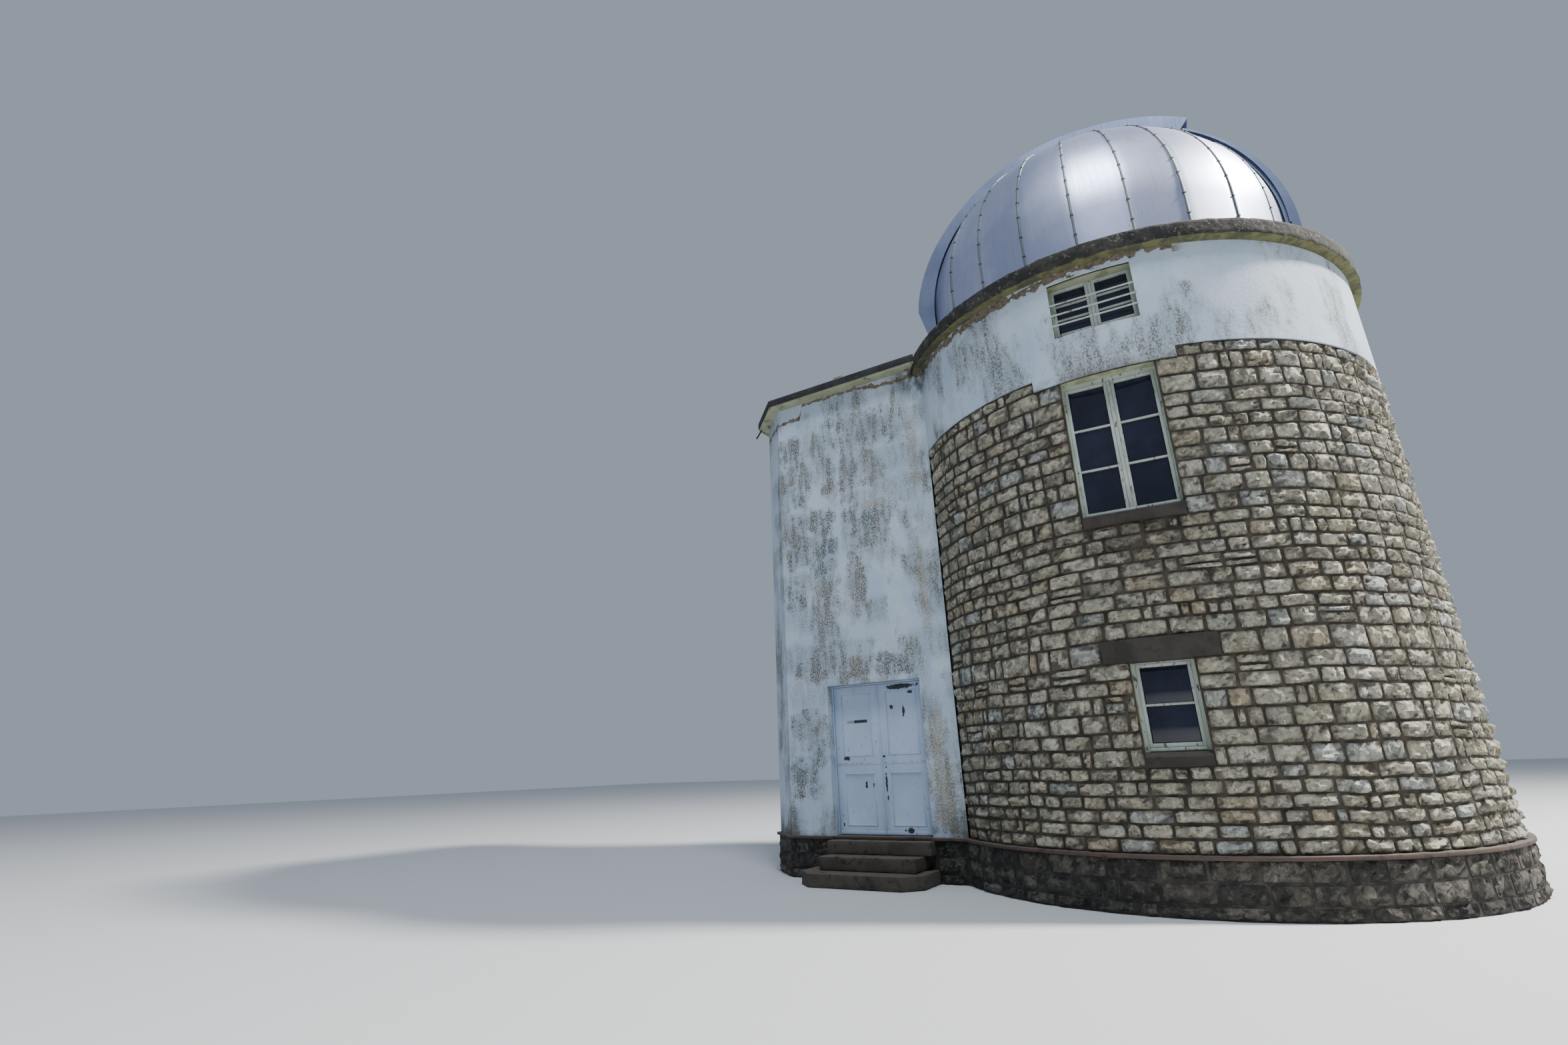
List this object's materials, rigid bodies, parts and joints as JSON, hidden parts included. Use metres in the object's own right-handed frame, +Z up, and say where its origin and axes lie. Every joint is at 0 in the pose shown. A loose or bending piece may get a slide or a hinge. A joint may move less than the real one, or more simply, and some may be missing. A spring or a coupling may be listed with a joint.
{
  "type": "observatory dome building",
  "caption": "Round stone tower carrying a turning metal observatory dome with an up-and-over shutter, beside a rendered stair tower with a double door and steps.",
  "frame": {"origin": "on the round tower's vertical axis at ground level, on the underside of its ground floor", "axes": "+Z up, -Y out through the entrance wall and the front windows, +X away from the stair tower"},
  "size_m": [9.6826, 6.818, 11.5588],
  "materials": {
    "limestone": "rock-faced coursed limestone with wide recessed joints",
    "dark_stone": "dark rough stone and cast stone",
    "cap_stone": "reddish weathered string course",
    "render": "smooth cement render with algae stains",
    "concrete": "weathered concrete",
    "step_concrete": "worn concrete with reddish nosings",
    "black_flashing": "matt black",
    "steel": "dull painted steel",
    "dome_metal": "brushed sheet with vertical streaks",
    "window_paint": "flaking pale grey-green paint",
    "window_glass": "dusty window glass",
    "door_paint": "worn pale blue-grey paint"
  },
  "bodies": {
    "building": {"plinth": "dark_stone", "plinth_cap": "cap_stone", "ground_floor_round_room": "concrete", "ground_floor_stair_tower": "concrete", "round_wall_front_bay": "limestone", "round_wall_rear_bay": "limestone", "round_wall_right_1": "limestone", "round_wall_right_2": "limestone", "round_wall_right_3": "limestone", "round_wall_rear_left": "limestone", "round_wall_front_left": "limestone", "round_wall_stair_side": "limestone", "render_band": "render", "first_floor_slab": "concrete", "observing_floor_slab": "concrete", "cornice": "concrete", "front_lower_window_frame": "window_paint", "front_lower_window_glass": "window_glass", "front_lower_window_sill": "dark_stone", "front_lower_window_lintel": "dark_stone", "front_main_window_frame": "window_paint", "front_main_window_glass": "window_glass", "front_main_window_sill": "dark_stone", "front_upper_window_frame": "window_paint", "front_upper_window_glass": "window_glass", "rear_lower_window_frame": "window_paint", "rear_lower_window_glass": "window_glass", "rear_lower_window_sill": "dark_stone", "rear_lower_window_lintel": "dark_stone", "rear_main_window_frame": "window_paint", "rear_main_window_glass": "window_glass", "rear_main_window_sill": "dark_stone", "rear_upper_window_frame": "window_paint", "rear_upper_window_glass": "window_glass", "stair_tower_wall_left_of_door": "render", "stair_tower_wall_over_door": "render", "stair_tower_wall_right_of_door": "render", "stair_tower_end_wall": "render", "stair_tower_back_wall": "render", "stair_tower_roof_slab": "concrete", "roof_edge_flashing": "black_flashing", "roof_rain_spout": "black_flashing", "door_frame": "door_paint", "entrance_step_bottom": "step_concrete", "entrance_step_middle": "step_concrete", "entrance_landing": "step_concrete", "dome_track": "steel"},
    "dome": {"dome_base_ring": "steel", "dome_shell": "dome_metal", "slit_curb_near": "dome_metal", "slit_curb_far": "dome_metal", "slit_rear_cover": "dome_metal"},
    "shutter": {"shutter": "dome_metal"},
    "left_door": {"door_leaf_left": "door_paint"},
    "right_door": {"door_leaf_right": "door_paint"}
  },
  "joints": [
    {"name": "dome_turn", "type": "hinge", "parent": "building", "child": "dome", "pos_m": [0, 0, 7.998], "axis": [0, 0, 1], "continuous": true},
    {"name": "shutter_slide", "type": "hinge", "parent": "dome", "child": "shutter", "pos_m": [0, 0, 8.834], "axis": [-0.0941, 0.9956, 0], "range_deg": [0, 57]},
    {"name": "left_door_hinge", "type": "hinge", "parent": "building", "child": "left_door", "pos_m": [-4.703, -1.663, 0.58], "axis": [0, 0, 1], "range_deg": [0, 90]},
    {"name": "right_door_hinge", "type": "hinge", "parent": "building", "child": "right_door", "pos_m": [-3.213, -1.663, 0.58], "axis": [0, 0, -1], "range_deg": [0, 90]}
  ]
}
